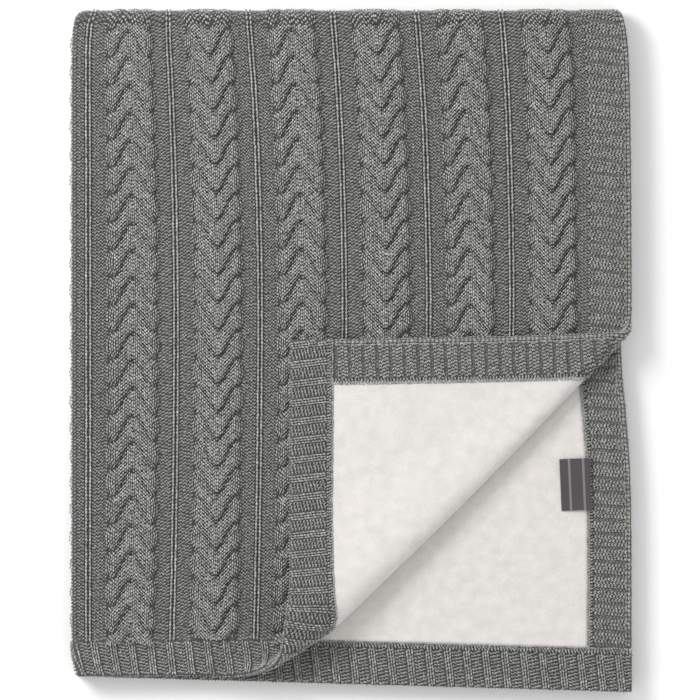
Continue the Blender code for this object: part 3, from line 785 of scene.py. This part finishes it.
def make_band(name, edge, across, length, half_length, rib, grooves):
    """One band: its cloth, its ribbed stitches on both faces, its edge chain and its seam.

    grooves are how deep the grooves of a side band are on its two faces, and how much painted shade darkens
    them; an end band has none to give.
    """
    def front(u, v):
        clear = smooth((np.maximum(np.abs(u) - band_near_u, np.abs(v) - band_near_v) - 0.003) / 0.003)
        return KNIT_THICKNESS - 0.0005 + BAND_RELIEF * rib(u, v) * clear * band_front_shown(u, v)

    def back(u, v):
        return -LINING_THICKNESS + 0.0005 - BAND_RELIEF * rib(u, v) * back_shown(u, v)

    def covered(u, v, face):
        rim = (np.abs(u) > HALF_WIDTH - 0.003) | (np.abs(v) > HALF_LENGTH - 0.003)
        return 0.9 * (rim | (band_front_shown(u, v) if face > 0 else back_shown(u, v)))

    piece = cloth(name + "_cloth", across, length, front, back, covered, KNIT)
    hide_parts(name)
    # a chain runs round the free edge, over both faces on a side band
    middle = (KNIT_THICKNESS - LINING_THICKNESS) / 2
    rim = BAND_WIDTH - PIECE_GAP / 2
    if grooves is None:
        front_legs = end_band_legs(edge, half_length, SEAM_OVERLAP + 0.0012, 1)
        back_legs = end_band_legs(edge, half_length, 0.0040, -1)
        rim_legs = chain_legs(edge, half_length, END_ROW, rim - 0.0005, 0.0, middle, END_RIM_LEG, 0.90)
        seam_at = (-0.0006, 0.0008, 0.0022)
    else:
        front_legs = side_band_legs(edge, half_length, -0.0006, grooves[0], 0.14, 1)
        back_legs = side_band_legs(edge, half_length, 0.0024, grooves[1], 0.04, -1)
        rim_legs = chain_legs(edge, half_length, 0.0030, rim - 0.0004, 0.1, middle, SIDE_RIM_LEG, 0.90)
        for step_in, lean in ((0.0016, 0.2), (0.0024, -0.2), (0.0040, 0.2)):
            for height in (KNIT_THICKNESS + 0.0004, -LINING_THICKNESS - 0.0004):
                rim_legs += chain_legs(edge, half_length, 0.0030, rim - step_in, lean, height,
                                       SIDE_CHAIN_LEG, 0.98)
        seam_at = (-0.0018, -0.0004, 0.0010)
    # three lines of stitches sew the band to the lining
    seam = []
    for number, across_at in enumerate(seam_at):
        seam += chain_legs(edge, half_length, 0.0019 + 0.0002 * number, across_at, 0.5 + 0.3 * number,
                           -LINING_THICKNESS - 0.0009, SEAM_LEG, 0.94)
    for part_name, legs, face in (("_front", chosen(front_legs, band_front_shown), 1), ("_rim", rim_legs, 1),
                                  ("_back", chosen(back_legs + seam, back_shown), -1)):
        if sum(len(leg[0]) for leg in legs):
            stitches(name + part_name, legs, face, KNIT)


def side_edge(side):
    """Layout place and heading for a band along a long side."""
    def edge(place, across):
        return side * (band_near_u + across), place + 0.0 * across, math.pi / 2
    return edge


def end_edge(side):
    """Layout place and heading for a band across an end."""
    def edge(place, across):
        return place + 0.0 * across, side * (band_near_v + across), 0.0
    return edge


side_v = lines(-side_half_v, 0.012, -0.020, 0.0015, 0.020, SIDE_RIB_PITCH / 6, side_half_v)
end_u = lines(-HALF_WIDTH, END_RIB_PITCH / 8, -0.010, 0.0008, 0.010, END_RIB_PITCH / 8, HALF_WIDTH)
side_u = lines(band_near_u, 0.0025, HALF_WIDTH - PIECE_GAP)
end_v = lines(band_near_v, 0.0025, HALF_LENGTH - PIECE_GAP)
plain_v = lines(-HALF_LENGTH + PIECE_GAP, 0.0025, -band_near_v)
for side, name, grooves in ((1, "side_band_outer", (0.8, 1.0)), (-1, "side_band_inner", (0.4, 0.9))):
    make_band(name, side_edge(side), side_u if side > 0 else -side_u[::-1], side_v, side_half_v,
              side_rib, grooves)
for side, name in ((1, "end_band_upper"), (-1, "end_band_lower")):
    make_band(name, end_edge(side), end_u, end_v if side > 0 else plain_v, HALF_WIDTH,
              end_rib, None)

# Label
# Charcoal tape woven in satin with two plain bars, cut to a short strip and folded once. Its cut ends are
# caught in the seam between the lining and the inner side band.
LABEL_TILT = math.radians(2.5)
LABEL_SIZE = (0.0215, 0.0370)
BAR_SPACING = 0.0100
BAR_SHIFT = 0.0040
BAR_HALF_WIDTH = 0.0008
label_low, label_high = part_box("label")


def label_material():
    """Fine woven tape with two plain bars."""
    material = bpy.data.materials.new("woven_tape")
    material.use_nodes = True
    nodes = material.node_tree.nodes
    links = material.node_tree.links
    shader = nodes["Principled BSDF"]
    shader.inputs["Roughness"].default_value = 0.7
    place = nodes.new("ShaderNodeUVMap")
    place.uv_map = "flat"
    threads = nodes.new("ShaderNodeTexWave")
    threads.inputs["Scale"].default_value = 420.0
    threads.bands_direction = "Y"
    bars = nodes.new("ShaderNodeSeparateXYZ")
    links.new(place.outputs["UV"], threads.inputs["Vector"])
    links.new(place.outputs["UV"], bars.inputs["Vector"])
    near_bar = nodes.new("ShaderNodeMath")
    near_bar.operation = "PINGPONG"
    near_bar.inputs[1].default_value = BAR_SPACING / 2
    in_bar = nodes.new("ShaderNodeMath")
    in_bar.operation = "LESS_THAN"
    in_bar.inputs[1].default_value = BAR_HALF_WIDTH
    shifted = nodes.new("ShaderNodeMath")
    shifted.operation = "ADD"
    shifted.inputs[1].default_value = BAR_SHIFT
    links.new(bars.outputs["X"], shifted.inputs[0])
    links.new(shifted.outputs["Value"], near_bar.inputs[0])
    links.new(near_bar.outputs["Value"], in_bar.inputs[0])
    mix = nodes.new("ShaderNodeMix")
    mix.data_type = "RGBA"
    mix.inputs["A"].default_value = (0.060, 0.055, 0.060, 1.0)
    mix.inputs["B"].default_value = (0.19, 0.18, 0.18, 1.0)
    links.new(in_bar.outputs["Value"], mix.inputs["Factor"])
    links.new(mix.outputs["Result"], shader.inputs["Base Color"])
    bump = nodes.new("ShaderNodeBump")
    bump.inputs["Strength"].default_value = 0.5
    bump.inputs["Distance"].default_value = 0.0002
    links.new(threads.outputs["Fac"], bump.inputs["Height"])
    links.new(bump.outputs["Normal"], shader.inputs["Normal"])
    return material


label_u, label_v = np.meshgrid(np.linspace(-0.5, 0.5, 13) * LABEL_SIZE[0],
                               np.linspace(-0.5, 0.5, 21) * LABEL_SIZE[1], indexing="ij")
label_middle = (label_low + label_high) / 2
label_rise = 0.0012 + 0.0016 * smooth(label_u / LABEL_SIZE[0] + 0.5) + 0.0004 * np.sin(label_v * 170)
label_x = label_middle[0] + label_u * math.cos(LABEL_TILT) - label_v * math.sin(LABEL_TILT)
label_y = label_middle[1] + label_u * math.sin(LABEL_TILT) + label_v * math.cos(LABEL_TILT)
label_top = np.stack((label_x, label_y, label_low[2] + label_rise), -1).reshape(-1, 3)
label_index = np.arange(label_u.size).reshape(label_u.shape)
label_quads = np.stack((label_index[:-1, :-1], label_index[1:, :-1], label_index[1:, 1:],
                        label_index[:-1, 1:]), -1).reshape(-1, 4)
label_mesh = bpy.data.meshes.new("woven_label")
label_mesh.from_pydata(label_top.tolist(), [], label_quads.tolist())
label_uv = label_mesh.uv_layers.new(name="flat")
label_flat = np.stack((label_u.ravel(), label_v.ravel()), -1)
label_uv.data.foreach_set("uv", label_flat[label_quads.ravel()].astype(np.float32).ravel())
label_mesh.materials.append(label_material())
label = bpy.data.objects.new("woven_label", label_mesh)
bpy.context.scene.collection.objects.link(label)
thick = label.modifiers.new("thickness", "SOLIDIFY")
thick.thickness = 0.0005
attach(label, "root")
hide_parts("label")

# Setting: a plain pale floor, a large soft lamp to the upper left and a camera straight above
PHOTO_SCALE = 0.000714
PHOTO_SIZE = 700
CAMERA_HEIGHT = 5.0


def floor_material():
    """Plain pale floor."""
    material = bpy.data.materials.new("pale_floor")
    material.use_nodes = True
    shader = material.node_tree.nodes["Principled BSDF"]
    shader.inputs["Base Color"].default_value = (0.95, 0.95, 0.95, 1.0)
    shader.inputs["Roughness"].default_value = 0.9
    return material


bpy.ops.mesh.primitive_plane_add(size=6.0, location=(0.0, 0.0, -0.0002))
floor = bpy.context.active_object
floor.name = "floor"
floor.data.materials.append(floor_material())

world = bpy.data.worlds.new("soft_room")
bpy.context.scene.world = world
world.use_nodes = True
world.node_tree.nodes["Background"].inputs["Color"].default_value = (1.0, 1.0, 1.0, 1.0)
world.node_tree.nodes["Background"].inputs["Strength"].default_value = 0.83

lamp_data = bpy.data.lights.new("key", "AREA")
lamp_data.shape = "RECTANGLE"
lamp_data.size = 0.7
lamp_data.size_y = 0.7
lamp_data.energy = 20.0
lamp = bpy.data.objects.new("key", lamp_data)
lamp.location = (-1.05, 0.75, 1.25)
bpy.context.scene.collection.objects.link(lamp)
aim = lamp.location.normalized().to_track_quat("Z", "Y")
lamp.rotation_euler = aim.to_euler()

camera_data = bpy.data.cameras.new("camera")
camera_data.sensor_width = 36.0
camera_data.lens = 36.0 * CAMERA_HEIGHT / (PHOTO_SCALE * PHOTO_SIZE)
camera = bpy.data.objects.new("camera", camera_data)
camera.location = (TO_ORIGIN[0], TO_ORIGIN[1], CAMERA_HEIGHT + 0.022)
bpy.context.scene.collection.objects.link(camera)
bpy.context.scene.camera = camera
bpy.context.scene.view_settings.view_transform = "Standard"
